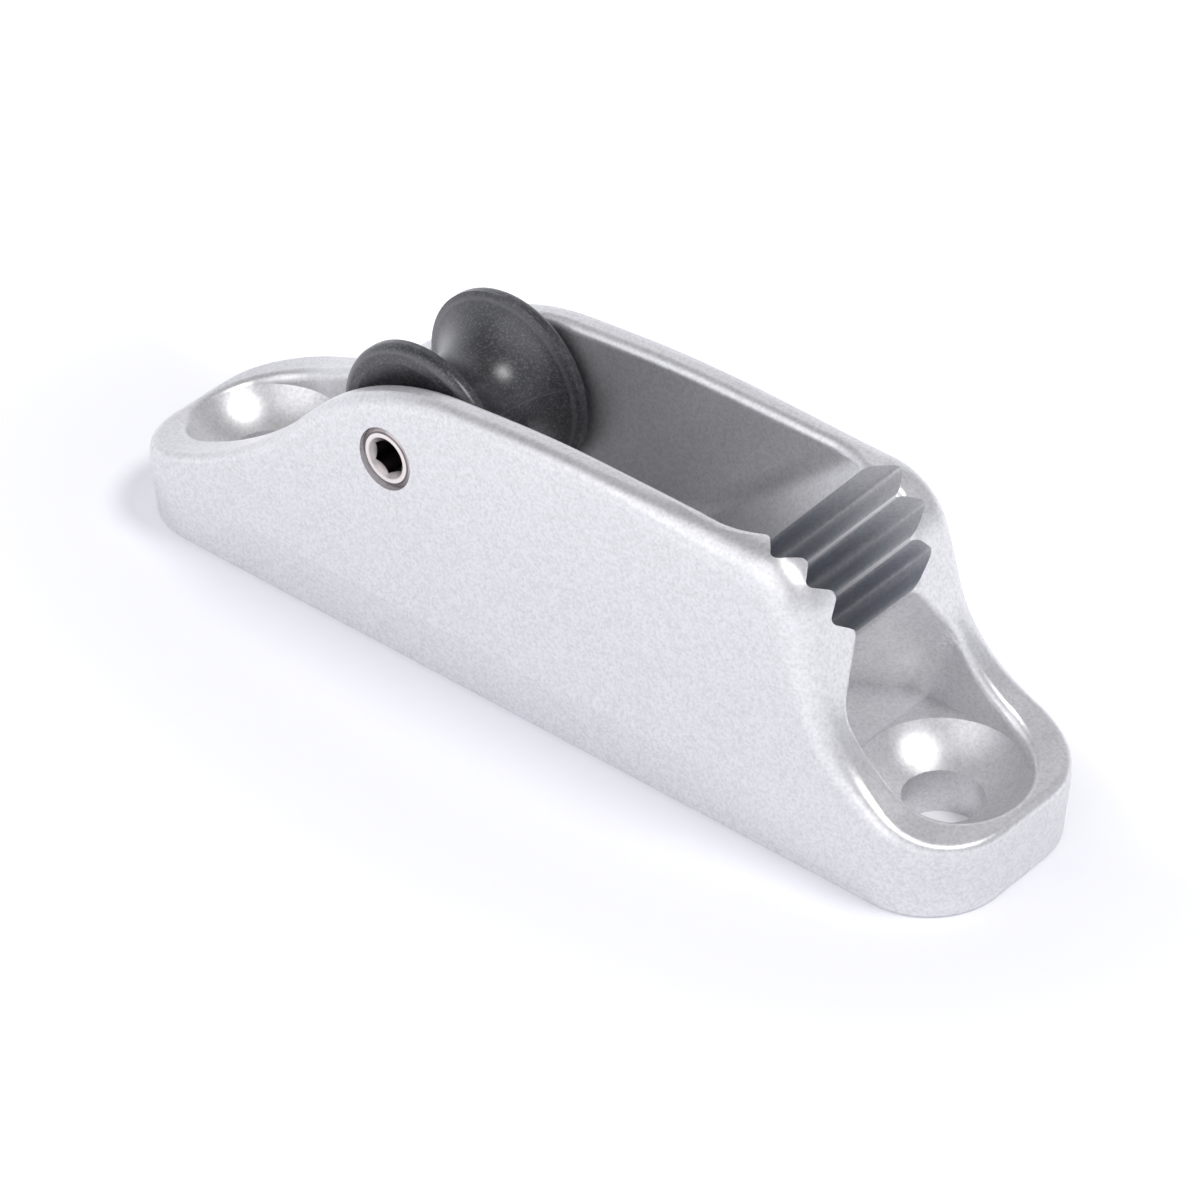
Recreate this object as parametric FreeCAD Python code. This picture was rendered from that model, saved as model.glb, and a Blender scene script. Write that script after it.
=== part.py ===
# Jam cleat with a guide roller, in millimetres.
# Frame: +X from the roller end towards the toothed end, +Z up, the base rests on z = 0,
# the origin is the middle of the base. The cleat is the same on both sides of the XZ plane.
import math
import os

import FreeCAD
import Part
from FreeCAD import Vector

os.makedirs("parts", exist_ok=True)
document = FreeCAD.newDocument("cleat")

# Casting outline
body_length = 80.8          # at the parting line
body_width = 19.0           # at the parting line
corner_radius = 6.6         # plan corners at the parting line
parting_height = 4.8
skirt_draft_deg = 3.8       # below the parting line the sides lean inwards
wall_draft_deg = 3.0        # above it they lean inwards the other way
base_edge_round = 0.35
rim_round = 1.1             # outer top edge, along the sides
jaw_rim_round = 3.0         # and round the upper corner of the jaws
inner_round = 0.75          # inner top edge, round the channel and over the jaws
end_wall_shares = (0.5, 0.38)   # how much of the thin end wall the outer and the inner round may take

# Side view of the top edge: distance in from the end, height and the radius that rounds the corner
left_end_height = 6.0
right_end_height = 6.1
roller_end_corners = [(10.8, 7.25, 34.0), (25.4, 22.77, 22.0), (42.8, 24.1, 100.0)]
toothed_end_corners = [(14.9, 23.7, 5.5), (9.95, 7.45, 12.5)]

# Rope channel and screw recesses
channel_width = 12.2
channel_floor = 6.0
jaw_floor = 7.2
hole_from_end = 7.4
hole_diameter = 6.0
recess_floor = 3.7          # height of the dish where it meets the screw hole
jaw_floor_span = (40.55, 33.55, 18.55, 13.65)   # ramp, flat and ramp, measured in from the toothed end

# Toothed jaws: crests run up towards the tail end on both faces of a V
rib_angle_deg = 51.0        # crest line against the base, seen from the side
jaw_slope = 0.33            # half opening of the V per millimetre of height
jaw_ref_height = 22.3
jaw_half_gap = 4.85         # from the middle plane to a crest at that height
tooth_depth = 1.8
tooth_pitch = 3.0           # square to the crests
tooth_count = 4             # crests on each face
first_crest_from_end = 20.57    # at the reference height
lead_in_slope = 0.85
exit_slope = 1.12
crest_round = 0.25
root_round = 0.6
end_crest_round = 0.9       # first and last crest, where the smooth faces begin
lead_in_blend = 2.5         # hollow corner between side wall and lead-in face
exit_blend = 2.5
slot_width = 1.8            # free gap left at the foot of the V
jaw_seat = 1.2              # how far the jaw blocks run into the side walls

# Roller and its axle screw
roller_from_end = 28.4
roller_z = 17.0
roller_diameter = 15.0
roller_width = 11.0
hub_width = 11.4
hub_diameter = 7.6
rim_edge_round = 0.7        # outer edge of both flanges
groove_radius = 4.5
groove_root_diameter = 8.8
dish_depth = 0.35           # the flanges' outer faces fall off towards the hub
axle_diameter = 5.0
running_clearance = 0.05
axle_sink = 0.12            # screw end below the outer face of the wall
blind_wall = 0.9            # metal left behind the far end of the axle
hex_across_flats = 2.5
hex_depth = 2.6

half_length = body_length / 2.0
roller_x = -half_length + roller_from_end
hole_x = half_length - hole_from_end
recess_radius = channel_width / 2.0
end_wall = hole_from_end - recess_radius
skirt_inset = parting_height * math.tan(math.radians(skirt_draft_deg))
wall_lean = math.tan(math.radians(wall_draft_deg))
blank_height = 28.0
slack = 1.0


def outer_half_width(height):
    return body_width / 2.0 - (height - parting_height) * wall_lean


def plan_wire(inset, height):
    half_l = half_length - inset
    half_w = body_width / 2.0 - inset
    r = corner_radius - inset
    edges = []
    for k in range(4):
        sx, sy = [(1, -1), (1, 1), (-1, 1), (-1, -1)][k]
        centre = Vector(sx * (half_l - r), sy * (half_w - r), height)
        a0 = math.radians(-90 + 90 * k)
        spots = [centre + Vector(r * math.cos(a0 + t), r * math.sin(a0 + t), 0) for t in (0, math.pi / 4, math.pi / 2)]
        edges.append(Part.Arc(*spots).toShape())
        tx, ty = [(1, 1), (-1, 1), (-1, -1), (1, -1)][k]
        following = Vector(tx * (half_l - r), ty * (half_w - r), height)
        a1 = a0 + math.pi / 2
        edges.append(Part.makeLine(spots[2], following + Vector(r * math.cos(a1), r * math.sin(a1), 0)))
    return Part.Wire(edges)


def rounded_path(points):
    # points: (u, v, radius); returns straight and arc pieces as lists of plane points
    pieces = []
    here = (points[0][0], points[0][1])
    for before, corner, after in zip(points, points[1:], points[2:]):
        if corner[2] < 1e-6:
            pieces.append([here, (corner[0], corner[1])])
            here = (corner[0], corner[1])
            continue
        ax, ay = before[0] - corner[0], before[1] - corner[1]
        bx, by = after[0] - corner[0], after[1] - corner[1]
        la, lb = math.hypot(ax, ay), math.hypot(bx, by)
        ax, ay, bx, by = ax / la, ay / la, bx / lb, by / lb
        half = math.acos(max(-1.0, min(1.0, ax * bx + ay * by))) / 2.0
        run = corner[2] / math.tan(half)
        mx, my = ax + bx, ay + by
        lm = math.hypot(mx, my)
        reach = corner[2] / math.sin(half) - corner[2]
        start = (corner[0] + ax * run, corner[1] + ay * run)
        middle = (corner[0] + mx / lm * reach, corner[1] + my / lm * reach)
        end = (corner[0] + bx * run, corner[1] + by * run)
        pieces.append([here, start])
        pieces.append([start, middle, end])
        here = end
    pieces.append([here, (points[-1][0], points[-1][1])])
    return pieces


def path_edges(pieces, place):
    edges = []
    for piece in pieces:
        spots = [place(*p) for p in piece]
        if len(spots) == 3:
            edges.append(Part.Arc(*spots).toShape())
        elif spots[0].distanceToPoint(spots[1]) > 1e-6:
            edges.append(Part.makeLine(spots[0], spots[1]))
    return edges


def side_view_solid(edges, first, last, level, half_width):
    # closes a side-view path down (or up) to a level and extrudes it across the cleat
    corners = [last, Vector(last.x, last.y, level), Vector(first.x, first.y, level), first]
    closing = [Part.makeLine(a, b) for a, b in zip(corners, corners[1:])]
    face = Part.Face(Part.Wire(edges + closing))
    return face.extrude(Vector(0, 2 * half_width, 0))


def top_line():
    # corner list of the side view, run on past both ends of the blank
    over = corner_radius
    corners = [(-half_length + d, z, r) for d, z, r in roller_end_corners]
    corners += [(half_length - d, z, r) for d, z, r in toothed_end_corners]
    rise = (corners[0][1] - left_end_height) / (corners[0][0] + half_length)
    fall = (corners[-1][1] - right_end_height) / (half_length - corners[-1][0])
    first = (-half_length - over, left_end_height - rise * over, 0)
    last = (half_length + over, right_end_height - fall * over, 0)
    return [first] + corners + [last]


def top_edges(y):
    return path_edges(rounded_path(top_line()), lambda x, z: Vector(x, y, z))


def under_top_line():
    points = top_line()
    first, last = Vector(points[0][0], -body_width, points[0][1]), Vector(points[-1][0], -body_width, points[-1][1])
    return side_view_solid(top_edges(-body_width), first, last, -slack, body_width)


def blank():
    top_inset = (blank_height - parting_height) * wall_lean
    skirt = Part.makeLoft([plan_wire(skirt_inset, 0), plan_wire(0, parting_height)], True, True)
    upper = Part.makeLoft([plan_wire(0, parting_height), plan_wire(top_inset, blank_height)], True, True)
    return skirt.fuse(upper).common(under_top_line())


def is_top_face(face, line):
    if any(line.distToShape(Part.Vertex(v.Point.x, 0, v.Point.z))[0] > 1e-3 for v in face.Vertexes):
        return False
    u0, u1, v0, v1 = face.ParameterRange
    normal = face.normalAt((u0 + u1) / 2.0, (v0 + v1) / 2.0)
    return abs(normal.y) < 1e-6 and normal.z > 0.05


def faces_meet_at(edge, faces):
    spot = edge.valueAt((edge.FirstParameter + edge.LastParameter) / 2.0)
    normals = [f.normalAt(*f.Surface.parameter(spot)) for f in faces]
    return normals[0].getAngle(normals[1])


def top_rim_edges(solid):
    # sharp edges between the top faces and anything beside them
    line = Part.Wire(top_edges(0))
    chosen = []
    for edge in solid.Edges:
        faces = solid.ancestorsOfType(edge, Part.Face)
        if len(faces) == 2 and is_top_face(faces[0], line) != is_top_face(faces[1], line):
            if faces_meet_at(edge, faces) > 0.3:
                chosen.append(edge)
    return chosen


def rim_stations(radius, at_jaw, share):
    # (x, radius) along a top edge: less towards the ends, where the wall is thin
    least = share * end_wall
    corner, foot = [half_length - d for d, _, _ in toothed_end_corners]
    middle = [(-hole_x, radius), (crest_places()[0], radius), (corner, at_jaw), (foot, radius), (hole_x, radius)]
    return [(-half_length, least)] + middle + [(half_length, least)]


def round_rim(solid, edges, stations):
    def radius_at(parameter, edge):
        x = max(-half_length, min(half_length, edge.valueAt(parameter).x))
        for (x0, r0), (x1, r1) in zip(stations, stations[1:]):
            if x <= x1:
                return r0 + (r1 - r0) * (x - x0) / (x1 - x0)

    base = document.addObject("Part::Feature", "base")
    base.Shape = solid
    rounding = document.addObject("Part::Fillet", "rounding")
    rounding.Base = base
    rows = []
    for number, edge in enumerate(solid.Edges, 1):
        if any(edge.isSame(other) for other in edges):
            rows.append((number, radius_at(edge.FirstParameter, edge), radius_at(edge.LastParameter, edge)))
    rounding.Edges = rows
    document.recompute()
    return rounding.Shape.copy()


def base_edges(solid):
    return [e for e in solid.Edges if e.BoundBox.ZMax < 1e-6]


def channel_space():
    # stadium-shaped trough over the whole length, cut off below by the stepped floor
    r, top = channel_width / 2.0, blank_height + slack
    trough = Part.makeBox(2 * hole_x, 2 * r, top, Vector(-hole_x, -r, 0))
    for sign in (-1, 1):
        trough = trough.fuse(Part.makeCylinder(r, top, Vector(sign * hole_x, 0, 0)))
    trough = trough.removeSplitter()
    reach = half_length + slack
    steps = zip(jaw_floor_span, (channel_floor, jaw_floor, jaw_floor, channel_floor))
    spots = [(-reach, channel_floor)] + [(half_length - d, z) for d, z in steps] + [(reach, channel_floor)]
    points = [Vector(x, -body_width, z) for x, z in spots]
    edges = [Part.makeLine(a, b) for a, b in zip(points, points[1:])]
    above = side_view_solid(edges, points[0], points[-1], top, body_width)
    return trough.common(above)


def sheared_prism(points, side, y_far):
    # plan section at the reference height, closed at y_far, run along the crest direction
    a = math.radians(rib_angle_deg)
    low, high = -jaw_ref_height - 3 * slack, blank_height - jaw_ref_height + 3 * slack
    run = Vector(math.cos(a) / math.sin(a), side * jaw_slope, 1.0)
    start = Vector(0, 0, jaw_ref_height) + run * low
    edges = path_edges(rounded_path(points), lambda x, y: Vector(x, side * y, 0) + start)
    first, last = points[0], points[-1]
    closing = [last[:2], (last[0], y_far), (first[0], y_far), first[:2]]
    spots = [Vector(x, side * y, 0) + start for x, y in closing]
    edges += [Part.makeLine(p, q) for p, q in zip(spots, spots[1:])]
    return Part.Face(Part.Wire(edges)).extrude(run * (high - low))


def crest_places():
    # first and last crest at the reference height, and the spacing between crests, along X
    step = tooth_pitch / math.sin(math.radians(rib_angle_deg))
    first = half_length - first_crest_from_end
    return first, first + (tooth_count - 1) * step, step


def jaw_block(side):
    # smooth jaw: lead-in face, crest plane and exit face, set into the side wall
    first, last, _ = crest_places()
    reach = body_length
    fall = reach * math.sin(math.radians(rib_angle_deg))
    points = [
        (first - reach, jaw_half_gap + fall * lead_in_slope, 0),
        (first, jaw_half_gap, 0),
        (last, jaw_half_gap, 0),
        (last + reach, jaw_half_gap + fall * exit_slope, 0),
    ]
    block = sheared_prism(points, side, body_length)
    inner, outer = slot_width / 2.0, channel_width / 2.0 + jaw_seat
    corner = Vector(roller_x, min(side * inner, side * outer), channel_floor - slack)
    return block.common(Part.makeBox(body_length, outer - inner, blank_height, corner))


def jaw_corners(solid, at_wall):
    # straight edges up the jaws: their hollow corners at the side walls, or their first and last crests
    y = channel_width / 2.0 if at_wall else slot_width / 2.0
    found = []
    for edge in solid.Edges:
        ends = [v.Point for v in edge.Vertexes]
        if edge.Curve.TypeId != "Part::GeomLine" or abs(ends[0].z - ends[-1].z) < 2 * tooth_pitch:
            continue
        near = [abs(abs(p.y) - y) < 1e-3 for p in ends]
        if (all(near) if at_wall else any(near)) and abs(ends[0].x - ends[-1].x) > slack:
            found.append(edge)
    return found


def tooth_grooves(side):
    # one cutter for all grooves of a jaw, with a rounded crest between each two
    first, last, step = crest_places()
    crest, root = jaw_half_gap, jaw_half_gap + tooth_depth
    lost = 1.0 / math.sin(math.atan2(step / 2.0, tooth_depth)) - 1.0   # by a corner when it is rounded, per radius
    points = [(first, crest - slack, 0), (first, crest, 0)]
    for k in range(tooth_count - 1):
        x = first + k * step
        points.append((x + step / 2.0, root + lost * root_round, root_round))
        if k < tooth_count - 2:
            points.append((x + step, crest - lost * crest_round, crest_round))
    points += [(last, crest, 0), (last, crest - slack, 0)]
    cutter = sheared_prism(points, side, crest - 3 * slack)
    corner = Vector(-half_length, -body_width / 2.0, jaw_floor)
    return cutter.common(Part.makeBox(body_length, body_width, blank_height, corner))


def screw_recess(side):
    x = side * hole_x
    hole_r = hole_diameter / 2.0
    drop = channel_floor - recess_floor
    ball_z = (recess_radius ** 2 - hole_r ** 2 + channel_floor ** 2 - recess_floor ** 2) / (2.0 * drop)
    ball_r = math.hypot(recess_radius, channel_floor - ball_z)
    ball = Part.makeSphere(ball_r, Vector(x, 0, ball_z))
    keep = Part.makeCylinder(recess_radius, channel_floor, Vector(x, 0, 0))
    hole = Part.makeCylinder(hole_r, channel_floor + slack, Vector(x, 0, -slack))
    return ball.common(keep).fuse(hole)


def axle_bore():
    near = outer_half_width(roller_z) + slack
    far = outer_half_width(roller_z) - blind_wall
    return Part.makeCylinder(axle_diameter / 2.0, near + far, Vector(roller_x, -near, roller_z), Vector(0, 1, 0))


def cleat_body():
    shell = blank()
    shell = round_rim(shell, top_rim_edges(shell), rim_stations(rim_round, jaw_rim_round, end_wall_shares[0]))
    shell = shell.makeFillet(base_edge_round, base_edges(shell))
    solid = shell.cut(channel_space())
    for side in (-1, 1):
        solid = solid.fuse(shell.common(jaw_block(side)))
    solid = solid.removeSplitter()
    hollows = jaw_corners(solid, True)
    solid = solid.makeFillet(lead_in_blend, [e for e in hollows if e.CenterOfMass.x < crest_places()[0]])
    hollows = jaw_corners(solid, True)
    solid = solid.makeFillet(exit_blend, [e for e in hollows if e.CenterOfMass.x > crest_places()[0]])
    solid = solid.makeFillet(end_crest_round, jaw_corners(solid, False))
    inner = [e for e in top_rim_edges(solid) if abs(e.CenterOfMass.y) < channel_width / 2.0 + 0.01]
    solid = round_rim(solid, inner, rim_stations(inner_round, inner_round, end_wall_shares[1]))
    for side in (-1, 1):
        solid = solid.cut(tooth_grooves(side)).cut(screw_recess(side))
    solid = solid.cut(axle_bore()).removeSplitter()
    return solid.Solids[0]


def turned(points, place):
    # closed outline of (along axle, radius) points, turned about the axle line
    edges = path_edges(points, lambda y, r: Vector(roller_x, y, roller_z + r))
    face = Part.Face(Part.Wire(edges))
    return face.revolve(place, Vector(0, 1, 0), 360)


def roller():
    axis = Vector(roller_x, 0, roller_z)
    bore = axle_diameter / 2.0 + running_clearance
    rim, half, hub = roller_diameter / 2.0, roller_width / 2.0, hub_width / 2.0
    hub_r = hub_diameter / 2.0
    root = groove_root_diameter / 2.0
    centre = root + groove_radius
    lip = rim - 0.35
    lip_y = math.sqrt(groove_radius ** 2 - (centre - lip) ** 2)
    side = half - dish_depth
    outline = [
        (-hub, bore + 0.3, 0), (-hub, hub_r - 0.15, 0), (-hub + 0.15, hub_r, 0), (-side, hub_r + 0.3, 0),
        (-half, rim - 2 * rim_edge_round, 0), (-half, rim, rim_edge_round), (-lip_y - 0.2, rim, 0), (-lip_y, lip, 0),
    ]
    left = rounded_path(outline)
    groove = [[(-lip_y, lip), (0.0, root), (lip_y, lip)]]
    right = rounded_path([(-y, r, q) for y, r, q in reversed(outline)])
    inner = [(hub, bore + 0.3), (hub - 0.3, bore), (-hub + 0.3, bore), (-hub, bore + 0.3)]
    closing = [[p, q] for p, q in zip(inner, inner[1:])]
    return turned(left + groove + right + closing, axis)


def axle_screw():
    outer = outer_half_width(roller_z)
    start, end = -(outer - axle_sink), outer - blind_wall - 0.1
    r = axle_diameter / 2.0
    points = [(start, 0), (start, r - 0.45), (start + 0.35, r), (end - 0.5, r), (end, r - 0.5), (end, 0), (start, 0)]
    body = turned([[p, q] for p, q in zip(points, points[1:])], Vector(roller_x, 0, roller_z))
    corner_r = hex_across_flats / math.sqrt(3.0)
    corners = []
    for k in range(7):
        a = math.radians(90 + 60 * k)
        corners.append(Vector(roller_x + corner_r * math.cos(a), start, roller_z + corner_r * math.sin(a)))
    socket = Part.Face(Part.makePolygon(corners)).extrude(Vector(0, hex_depth, 0))
    tip = Part.makeCone(corner_r * 0.86, 0.0, 0.8, Vector(roller_x, start + hex_depth, roller_z), Vector(0, 1, 0))
    lead = Part.makeCone(corner_r + 0.25, 0.0, corner_r + 0.25, Vector(roller_x, start - 0.02, roller_z), Vector(0, 1, 0))
    return body.cut(socket.fuse(tip)).cut(lead).Solids[0]


pieces = {
    "cleat_body": cleat_body(),
    "roller": roller(),
    "axle_screw": axle_screw(),
}
for node, shape in pieces.items():
    shape.exportStep("parts/" + node + ".step")
    box = shape.BoundBox
    print(node, shape.ShapeType, "valid", shape.isValid(), "solids", len(shape.Solids), "volume", round(shape.Volume, 1),
          "size", round(box.XLength, 2), round(box.YLength, 2), round(box.ZLength, 2), "z", round(box.ZMin, 3))
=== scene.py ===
import math

import bpy
from mathutils import Matrix, Vector


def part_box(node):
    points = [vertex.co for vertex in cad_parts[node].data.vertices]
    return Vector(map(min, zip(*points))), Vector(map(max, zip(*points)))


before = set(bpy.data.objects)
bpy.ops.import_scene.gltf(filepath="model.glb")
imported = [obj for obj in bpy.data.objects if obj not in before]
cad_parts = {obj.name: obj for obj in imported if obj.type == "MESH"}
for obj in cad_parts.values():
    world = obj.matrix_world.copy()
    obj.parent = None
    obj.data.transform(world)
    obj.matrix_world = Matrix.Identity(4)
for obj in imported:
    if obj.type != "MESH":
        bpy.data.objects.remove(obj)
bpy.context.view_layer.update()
mm = 0.001


# Small helpers for node trees
def addNode(tree, kind, **values):
    node = tree.nodes.new(kind)
    for name, value in values.items():
        setattr(node, name, value)
    return node


def link(tree, source, target):
    tree.links.new(source, target)


def newMaterial(name):
    material = bpy.data.materials.new(name)
    material.use_nodes = True
    return material, material.node_tree, material.node_tree.nodes["Principled BSDF"]


def dress(node, material):
    # gives a CAD node its finish in every slot
    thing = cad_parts[node]
    thing.data.materials.clear()
    thing.data.materials.append(material)
    for face in thing.data.polygons:
        face.material_index = 0


# Grain shared by the finishes: fine specks and slow clouds on the object's own coordinates
def buildGrainGroup():
    group = bpy.data.node_groups.new("surfaceGrain", "ShaderNodeTree")
    face = group.interface
    for name, value in (("Speck Size", 0.25), ("Cloud Size", 9.0), ("Seed", 0.0)):
        socket = face.new_socket(name=name, in_out="INPUT", socket_type="NodeSocketFloat")
        socket.default_value = value
    for name in ("Specks", "Clouds"):
        face.new_socket(name=name, in_out="OUTPUT", socket_type="NodeSocketFloat")
    start = addNode(group, "NodeGroupInput")
    end = addNode(group, "NodeGroupOutput")
    place = addNode(group, "ShaderNodeTexCoord")
    for output, size, detail in (("Specks", "Speck Size", 2.0), ("Clouds", "Cloud Size", 3.0)):
        perMetre = addNode(group, "ShaderNodeMath", operation="DIVIDE")
        perMetre.inputs[0].default_value = 1.0 / mm
        link(group, start.outputs[size], perMetre.inputs[1])
        noise = addNode(group, "ShaderNodeTexNoise", noise_dimensions="4D")
        noise.inputs["Detail"].default_value = detail
        link(group, place.outputs["Object"], noise.inputs["Vector"])
        link(group, perMetre.outputs[0], noise.inputs["Scale"])
        link(group, start.outputs["Seed"], noise.inputs["W"])
        link(group, noise.outputs["Fac"], end.inputs[output])
    return group


grainGroup = buildGrainGroup()


def addGrain(tree, speckSize, cloudSize, seed):
    node = addNode(tree, "ShaderNodeGroup", node_tree=grainGroup)
    node.inputs["Speck Size"].default_value = speckSize
    node.inputs["Cloud Size"].default_value = cloudSize
    node.inputs["Seed"].default_value = seed
    return node


def addRamp(tree, source, stops):
    ramp = addNode(tree, "ShaderNodeValToRGB")
    while len(ramp.color_ramp.elements) < len(stops):
        ramp.color_ramp.elements.new(0.5)
    for element, (spot, tone) in zip(ramp.color_ramp.elements, stops):
        element.position = spot
        element.color = (*tone, 1.0)
    link(tree, source, ramp.inputs["Fac"])
    return ramp


def addMapRange(tree, source, low, high):
    # noise stays mostly between 0.3 and 0.7
    span = addNode(tree, "ShaderNodeMapRange")
    span.inputs["From Min"].default_value = 0.3
    span.inputs["From Max"].default_value = 0.7
    span.inputs["To Min"].default_value = low
    span.inputs["To Max"].default_value = high
    link(tree, source, span.inputs["Value"])
    return span


def addMath(tree, operation, *terms, clamp=False):
    # each term is a number or an output socket
    node = addNode(tree, "ShaderNodeMath", operation=operation, use_clamp=clamp)
    for socket, term in zip(node.inputs, terms):
        if isinstance(term, (int, float)):
            socket.default_value = term
        else:
            link(tree, term, socket)
    return node.outputs[0]


def addStep(tree, source, low, high):
    # 0 below low, 1 above high, smooth between; low may be the larger one
    span = addNode(tree, "ShaderNodeMapRange", interpolation_type="SMOOTHSTEP")
    for name, value in (("From Min", low), ("From Max", high), ("To Min", 0.0), ("To Max", 1.0)):
        span.inputs[name].default_value = value
    link(tree, source, span.inputs["Value"])
    return span.outputs["Result"]


def addPlace(tree):
    # the surface point in millimetres, as three outputs
    place = addNode(tree, "ShaderNodeTexCoord")
    split = addNode(tree, "ShaderNodeSeparateXYZ")
    link(tree, place.outputs["Object"], split.inputs["Vector"])
    return [addMath(tree, "DIVIDE", split.outputs[axis], mm) for axis in "XYZ"]


def addTint(tree, amount, below, tint):
    # multiplies the colour below by the tint, as far as the amount says
    mix = addNode(tree, "ShaderNodeMix", data_type="RGBA", blend_type="MULTIPLY")
    link(tree, amount, mix.inputs["Factor"])
    link(tree, below, mix.inputs["A"])
    mix.inputs["B"].default_value = (*tint, 1.0)
    return mix.outputs["Result"]


def addRadius(tree, across, high):
    across = addMath(tree, "MULTIPLY", across, across)
    high = addMath(tree, "MULTIPLY", high, high)
    return addMath(tree, "SQRT", addMath(tree, "ADD", across, high))


def addBump(tree, source, strength, depth):
    bump = addNode(tree, "ShaderNodeBump")
    bump.inputs["Strength"].default_value = strength
    bump.inputs["Distance"].default_value = depth
    link(tree, source, bump.inputs["Height"])
    return bump


# Cast body

castFinish = {
    "dark": (0.655, 0.65, 0.66),
    "light": (0.80, 0.795, 0.81),
    "metallic": 0.76,
    "roughness": (0.33, 0.41),
    "speckSize": 0.22,
    "cloudSize": 7.0,
    "bump": 0.16,
    "bumpDepth": 0.02,
    # painted shade in the tooth grooves
    "paintedShadeTint": (0.54, 0.57, 0.62),
    "grooveFade": (23.0, 15.5),     # heights above the deck where the painted groove shade ends and where it is full
    # painted highlight along the tooth crests
    "paintedCrestHighlight": (0.97, 0.97, 0.97),
}

# Where the toothed faces lie, in millimetres
jaw = {
    "crestAngle": 51.0,
    "slope": 0.33,
    "height": 22.3,
    "halfGap": 4.85,
    "depth": 1.8,
    "firstCrest": 19.83,
    "lastCrest": 31.41,
    "margin": 0.05,
    "flank": (0.05, 0.63),          # depths over which the shade sets in
    "root": (1.17, 1.71),           # depths over which it gives way again
    "rootShare": 0.55,
    "crestWidth": (0.12, 0.04),
    "tilt": (0.25, 0.12),           # how far a normal may lean towards the crests
}


def buildGrooveGroup():
    # Shade is painted shade, 1 on the flanks of the tooth grooves and less at their roots; Crest is a painted
    # highlight, 1 along the crests
    group = bpy.data.node_groups.new("grooveShade", "ShaderNodeTree")
    for name in ("Shade", "Crest"):
        group.interface.new_socket(name=name, in_out="OUTPUT", socket_type="NodeSocketFloat")
    end = addNode(group, "NodeGroupOutput")
    x, y, z = addPlace(group)
    above = addMath(group, "SUBTRACT", z, jaw["height"])
    lean = 1.0 / math.tan(math.radians(jaw["crestAngle"]))
    along = addMath(group, "SUBTRACT", x, addMath(group, "MULTIPLY", above, lean))
    gap = addMath(group, "ADD", addMath(group, "MULTIPLY", above, jaw["slope"]), jaw["halfGap"])
    depth = addMath(group, "SUBTRACT", addMath(group, "ABSOLUTE", y), gap)
    normal = addNode(group, "ShaderNodeNewGeometry")
    split = addNode(group, "ShaderNodeSeparateXYZ")
    link(group, normal.outputs["Normal"], split.inputs["Vector"])
    # the grooves' faces run along the crests, so their normals have no part in that direction
    outward = addMath(group, "MULTIPLY", addMath(group, "SIGN", y), split.outputs["Y"])
    parts = [(split.outputs["X"], lean), (outward, jaw["slope"]), (split.outputs["Z"], 1.0)]
    tilt = 0.0
    for part, share in parts:
        tilt = addMath(group, "ADD", addMath(group, "MULTIPLY", part, share), tilt)
    inside = addStep(group, addMath(group, "ABSOLUTE", tilt), *jaw["tilt"])
    margin = jaw["margin"]
    for limit in (
        addStep(group, depth, jaw["depth"] + 3.0 * margin, jaw["depth"] + margin),
        addStep(group, along, jaw["firstCrest"] - margin, jaw["firstCrest"] + margin),
        addStep(group, along, jaw["lastCrest"] + margin, jaw["lastCrest"] - margin),
    ):
        inside = addMath(group, "MULTIPLY", inside, limit)
    flank = addStep(group, depth, *jaw["flank"])
    root = addStep(group, depth, *jaw["root"])
    flank = addMath(group, "SUBTRACT", flank, addMath(group, "MULTIPLY", root, jaw["rootShare"]))
    flank = addMath(group, "MULTIPLY", flank, addStep(group, z, *castFinish["grooveFade"]))
    crest = addStep(group, depth, *jaw["crestWidth"])
    link(group, addMath(group, "MULTIPLY", inside, flank), end.inputs["Shade"])
    link(group, addMath(group, "MULTIPLY", inside, crest), end.inputs["Crest"])
    return group


def makeCastFinish():
    material, tree, shader = newMaterial("satinCastMetal")
    grain = addGrain(tree, castFinish["speckSize"], castFinish["cloudSize"], 1.0)
    tone = addRamp(tree, grain.outputs["Specks"], [(0.30, castFinish["dark"]), (0.62, castFinish["light"])])
    groove = addNode(tree, "ShaderNodeGroup", node_tree=buildGrooveGroup())
    # painted shade darkens the groove flanks, fading out towards the top
    colour = addTint(tree, groove.outputs["Shade"], tone.outputs["Color"], castFinish["paintedShadeTint"])
    # painted highlight along the tooth crests
    brightenMix = addNode(tree, "ShaderNodeMix", data_type="RGBA")
    link(tree, groove.outputs["Crest"], brightenMix.inputs["Factor"])
    link(tree, colour, brightenMix.inputs["A"])
    brightenMix.inputs["B"].default_value = (*castFinish["paintedCrestHighlight"], 1.0)
    link(tree, brightenMix.outputs["Result"], shader.inputs["Base Color"])
    rough = addMapRange(tree, grain.outputs["Clouds"], *castFinish["roughness"])
    link(tree, rough.outputs["Result"], shader.inputs["Roughness"])
    bump = addBump(tree, grain.outputs["Specks"], castFinish["bump"], castFinish["bumpDepth"] * mm)
    link(tree, bump.outputs["Normal"], shader.inputs["Normal"])
    shader.inputs["Metallic"].default_value = castFinish["metallic"]
    return material


dress("cleat_body", makeCastFinish())
print("cast body dressed")

# Roller

rollerFinish = {
    "dark": (0.016, 0.016, 0.019),
    "light": (0.050, 0.050, 0.056),
    "speck": (0.13, 0.13, 0.135),
    "roughness": (0.33, 0.40),
    "gloss": 0.70,
    "coat": 0.35,
    "coatRoughness": 0.30,
    "speckSize": 0.15,
    "cloudSize": 3.0,
    "bump": 0.6,
    "bumpDepth": 0.02,
    "seamAngle": 20.0,              # the mould's parting line, which also runs round the far side
    "seamWidth": (0.06, 0.02),
    "seamShare": 0.5,
    "lip": (6.75, 7.0, 7.3),        # radii between which the lips get a painted highlight
    "lipShare": 0.55,
    "sheenAndSeamTone": (0.12, 0.12, 0.125),
}


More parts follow.
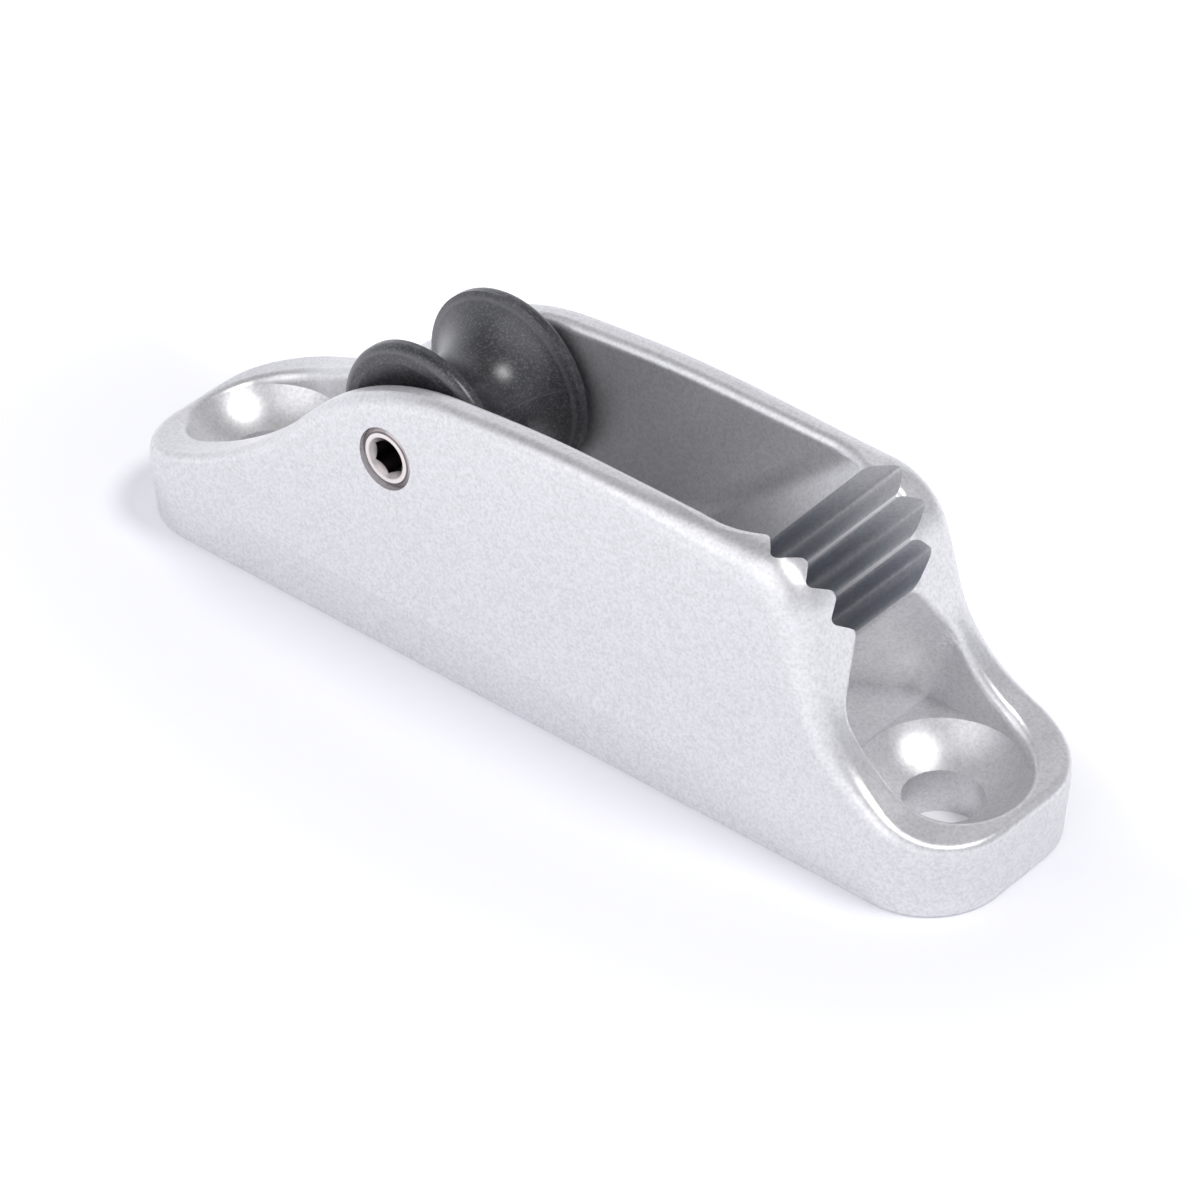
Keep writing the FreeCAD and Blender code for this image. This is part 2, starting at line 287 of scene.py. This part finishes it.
def makeRollerFinish():
    material, tree, shader = newMaterial("charcoalPlastic")
    grain = addGrain(tree, rollerFinish["speckSize"], rollerFinish["cloudSize"], 4.0)
    stops = [(0.44, rollerFinish["dark"]), (0.60, rollerFinish["light"]), (0.74, rollerFinish["speck"])]
    tone = addRamp(tree, grain.outputs["Specks"], stops)
    x, y, z = addPlace(tree)
    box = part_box("roller")
    along = addMath(tree, "SUBTRACT", x, (box[0][0] + box[1][0]) / 2.0 / mm)
    high = addMath(tree, "SUBTRACT", z, (box[0][2] + box[1][2]) / 2.0 / mm)
    radius = addRadius(tree, along, high)
    # painted highlight on the flange lips
    first, middle, last = rollerFinish["lip"]
    lip = addMath(tree, "MULTIPLY", addStep(tree, radius, first, middle), addStep(tree, radius, last, middle))
    lip = addMath(tree, "MULTIPLY", lip, rollerFinish["lipShare"])
    turn = math.radians(rollerFinish["seamAngle"])
    rise = addMath(tree, "MULTIPLY", high, math.cos(turn))
    off = addMath(tree, "SUBTRACT", rise, addMath(tree, "MULTIPLY", along, math.sin(turn)))
    seam = addStep(tree, addMath(tree, "ABSOLUTE", off), *rollerFinish["seamWidth"])
    seam = addMath(tree, "MULTIPLY", seam, rollerFinish["seamShare"])
    # paints the lip highlight and the pale line of the mould's seam
    brightenMix = addNode(tree, "ShaderNodeMix", data_type="RGBA")
    link(tree, addMath(tree, "MAXIMUM", lip, seam), brightenMix.inputs["Factor"])
    link(tree, tone.outputs["Color"], brightenMix.inputs["A"])
    brightenMix.inputs["B"].default_value = (*rollerFinish["sheenAndSeamTone"], 1.0)
    link(tree, brightenMix.outputs["Result"], shader.inputs["Base Color"])
    rough = addMapRange(tree, grain.outputs["Clouds"], *rollerFinish["roughness"])
    link(tree, rough.outputs["Result"], shader.inputs["Roughness"])
    bump = addBump(tree, grain.outputs["Specks"], rollerFinish["bump"], rollerFinish["bumpDepth"] * mm)
    link(tree, bump.outputs["Normal"], shader.inputs["Normal"])
    shader.inputs["Specular IOR Level"].default_value = rollerFinish["gloss"]
    shader.inputs["Coat Weight"].default_value = rollerFinish["coat"]
    shader.inputs["Coat Roughness"].default_value = rollerFinish["coatRoughness"]
    return material


dress("roller", makeRollerFinish())
print("roller dressed")

# Axle screw

screwFinish = {
    "dark": (0.46, 0.42, 0.41),
    "light": (0.84, 0.79, 0.77),
    "roughness": (0.34, 0.46),
    "ringSize": 0.12,
    "ringWaver": 0.6,
    "bump": 0.15,
    "bumpDepth": 0.01,
    "socketRadius": (1.6, 1.5),     # where its shade sets in, and where it is full
    "socketDepth": (0.15, 0.5),
    "socketShadeTint": (0.10, 0.09, 0.09),
    "rimRadius": (2.4, 2.48),
    "grooveRadius": 2.08,           # a turned line in the end face
    "grooveWidth": (0.09, 0.03),
    "ringShadeTint": (0.32, 0.30, 0.32),
}


def makeScrewFinish():
    material, tree, shader = newMaterial("turnedSteel")
    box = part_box("axle_screw")
    place = addNode(tree, "ShaderNodeTexCoord")
    centre = addNode(tree, "ShaderNodeMapping")
    for axis in (0, 2):
        centre.inputs["Location"].default_value[axis] = -(box[0][axis] + box[1][axis]) / 2.0
    link(tree, place.outputs["Object"], centre.inputs["Vector"])
    # the texture's waves run 20 times as fast as its scale says
    rings = addNode(tree, "ShaderNodeTexWave", wave_type="RINGS", rings_direction="Y")
    rings.inputs["Scale"].default_value = 1.0 / (screwFinish["ringSize"] * mm) / 20.0
    rings.inputs["Distortion"].default_value = screwFinish["ringWaver"]
    link(tree, centre.outputs["Vector"], rings.inputs["Vector"])
    tone = addRamp(tree, rings.outputs["Fac"], [(0.2, screwFinish["dark"]), (0.8, screwFinish["light"])])
    split = addNode(tree, "ShaderNodeSeparateXYZ")
    link(tree, centre.outputs["Vector"], split.inputs["Vector"])
    across, deep, high = [addMath(tree, "DIVIDE", split.outputs[axis], mm) for axis in "XYZ"]
    radius = addRadius(tree, across, high)
    endFace = box[0][1] / mm
    # painted shade inside the hex socket
    inside = addStep(tree, addMath(tree, "SUBTRACT", deep, endFace), *screwFinish["socketDepth"])
    inside = addMath(tree, "MULTIPLY", addStep(tree, radius, *screwFinish["socketRadius"]), inside)
    colour = addTint(tree, inside, tone.outputs["Color"], screwFinish["socketShadeTint"])
    # painted shade at the outer rim, where the screw meets the bore, and along the turned line
    off = addMath(tree, "ABSOLUTE", addMath(tree, "SUBTRACT", radius, screwFinish["grooveRadius"]))
    groove = addStep(tree, off, *screwFinish["grooveWidth"])
    dark = addMath(tree, "MAXIMUM", addStep(tree, radius, *screwFinish["rimRadius"]), groove)
    colour = addTint(tree, dark, colour, screwFinish["ringShadeTint"])
    link(tree, colour, shader.inputs["Base Color"])
    rough = addMapRange(tree, rings.outputs["Fac"], *screwFinish["roughness"])
    link(tree, rough.outputs["Result"], shader.inputs["Roughness"])
    bump = addBump(tree, rings.outputs["Fac"], screwFinish["bump"], screwFinish["bumpDepth"] * mm)
    link(tree, bump.outputs["Normal"], shader.inputs["Normal"])
    shader.inputs["Metallic"].default_value = 1.0
    return material


dress("axle_screw", makeScrewFinish())
print("axle screw dressed")

# Floor, light and camera

studio = {
    "floorSize": 6.0,               # in metres
    "floorTone": (0.86, 0.86, 0.90),
    "floorRoughness": 0.9,
    "floorLift": (0.12, 0.38),      # white added for the camera and for mirrors, near and far
    "liftReach": (20.0, 55.0),      # in millimetres from the middle
    "liftShorter": 0.55,            # distances along the cleat count this much
    "liftFar": (1.0, 26.0),         # the same, on the far side
    "lowTone": (0.93, 0.94, 1.0),
    "highTone": (0.28, 0.28, 0.29),
    "heights": (0.25, 0.80),        # sines of the elevations of both tones
    "dimToward": (0.58, 0.62, 0.53),    # the part of the room that the slope below the teeth mirrors
    "dimTone": (0.55, 0.55, 0.56),
    "dimReach": (0.55, 0.95),
    "worldStrength": 1.05,
    "aim": (0.0, 0.0, 0.01),
    "lamps": [
        {"name": "keyPanel", "place": (0.48, 0.14, 0.92), "size": 0.34, "power": 4.3},
        {"name": "backPanel", "place": (-0.50, 0.80, 0.70), "size": 0.90, "power": 0.40},
        {"name": "frontPanel", "place": (-0.10, -0.80, 0.72), "size": 1.20, "power": 3.7,
         "tone": (0.98, 0.98, 1.0)},
    ],
}


def makeFloor():
    bpy.ops.mesh.primitive_plane_add(size=studio["floorSize"], location=(0.0, 0.0, 0.0))
    floor = bpy.context.object
    floor.name = "floor"
    material, tree, shader = newMaterial("paleFloor")
    shader.inputs["Base Color"].default_value = (*studio["floorTone"], 1.0)
    shader.inputs["Roughness"].default_value = studio["floorRoughness"]
    seen = addNode(tree, "ShaderNodeLightPath")
    lift = addNode(tree, "ShaderNodeEmission")
    x, y, z = addPlace(tree)
    away = addRadius(tree, addMath(tree, "MULTIPLY", x, studio["liftShorter"]), y)
    near, far = studio["floorLift"]
    away = addStep(tree, away, *studio["liftReach"])
    share = addMath(tree, "MAXIMUM", away, addStep(tree, y, *studio["liftFar"]))
    share = addMath(tree, "MULTIPLY", share, far - near)
    link(tree, addMath(tree, "ADD", share, near), lift.inputs["Strength"])
    nothing = addNode(tree, "ShaderNodeEmission")
    nothing.inputs["Strength"].default_value = 0.0
    choose = addNode(tree, "ShaderNodeMixShader")
    both = addNode(tree, "ShaderNodeAddShader")
    mirrored = addMath(tree, "MAXIMUM", seen.outputs["Is Glossy Ray"], seen.outputs["Is Transmission Ray"])
    link(tree, addMath(tree, "MAXIMUM", seen.outputs["Is Camera Ray"], mirrored), choose.inputs[0])
    link(tree, nothing.outputs[0], choose.inputs[1])
    link(tree, lift.outputs[0], choose.inputs[2])
    link(tree, shader.outputs[0], both.inputs[0])
    link(tree, choose.outputs[0], both.inputs[1])
    link(tree, both.outputs[0], tree.nodes["Material Output"].inputs["Surface"])
    floor.data.materials.append(material)


def makeLamps():
    for lamp in studio["lamps"]:
        light = bpy.data.lights.new(lamp["name"], "AREA")
        light.shape = "DISK"
        light.size = lamp["size"]
        light.energy = lamp["power"]
        light.color = lamp.get("tone", (1.0, 1.0, 1.0))
        thing = bpy.data.objects.new(lamp["name"], light)
        bpy.context.scene.collection.objects.link(thing)
        thing.location = lamp["place"]
        toward = Vector(studio["aim"]) - Vector(lamp["place"])
        thing.rotation_euler = toward.to_track_quat("-Z", "Y").to_euler()


def makeWorld():
    # bright low down, as over a white table, and dimmer overhead
    world = bpy.data.worlds.new("softRoom")
    world.use_nodes = True
    tree = world.node_tree
    background = tree.nodes["Background"]
    place = addNode(tree, "ShaderNodeTexCoord")
    split = addNode(tree, "ShaderNodeSeparateXYZ")
    link(tree, place.outputs["Generated"], split.inputs["Vector"])
    low, high = studio["heights"]
    tone = addRamp(tree, split.outputs["Z"], [(low, studio["lowTone"]), (high, studio["highTone"])])
    near = 0.0
    for axis, share in zip("XYZ", studio["dimToward"]):
        near = addMath(tree, "ADD", addMath(tree, "MULTIPLY", split.outputs[axis], share), near)
    dim = addStep(tree, near, *studio["dimReach"])
    link(tree, addTint(tree, dim, tone.outputs["Color"], studio["dimTone"]), background.inputs["Color"])
    background.inputs["Strength"].default_value = studio["worldStrength"]
    bpy.context.scene.world = world


makeFloor()
makeLamps()
makeWorld()
print("floor, lamps and room made")

view = {
    "frameWidth": 1200.0,       # in pixels, as is the focal length
    "focalPixels": 4732.36,
    "azimuth": 40.94,
    "elevation": 36.11,
    "roll": -0.13,
    "distance": 353.157,        # in millimetres, as are the shifts
    "across": 0.758,
    "up": 4.141,
}


def makeCamera():
    a, e, r = (math.radians(view[k]) for k in ("azimuth", "elevation", "roll"))
    right = Vector((math.cos(a), math.sin(a), 0.0))
    up = Vector((-math.sin(a) * math.sin(e), math.cos(a) * math.sin(e), math.cos(e)))
    back = Vector((math.sin(a) * math.cos(e), -math.cos(a) * math.cos(e), math.sin(e)))
    right, up = right * math.cos(r) + up * math.sin(r), up * math.cos(r) - right * math.sin(r)
    place = (back * view["distance"] + right * view["across"] + up * view["up"]) * mm
    data = bpy.data.cameras.new("photoCamera")
    data.sensor_width = 36.0
    data.lens = view["focalPixels"] / view["frameWidth"] * data.sensor_width
    data.clip_start = 0.01
    data.clip_end = 20.0
    camera = bpy.data.objects.new("photoCamera", data)
    bpy.context.scene.collection.objects.link(camera)
    turn = Matrix((right, up, back)).transposed().to_4x4()
    camera.matrix_world = Matrix.Translation(place) @ turn
    bpy.context.scene.camera = camera


makeCamera()
bpy.context.scene.view_settings.view_transform = "Standard"
print("camera placed")
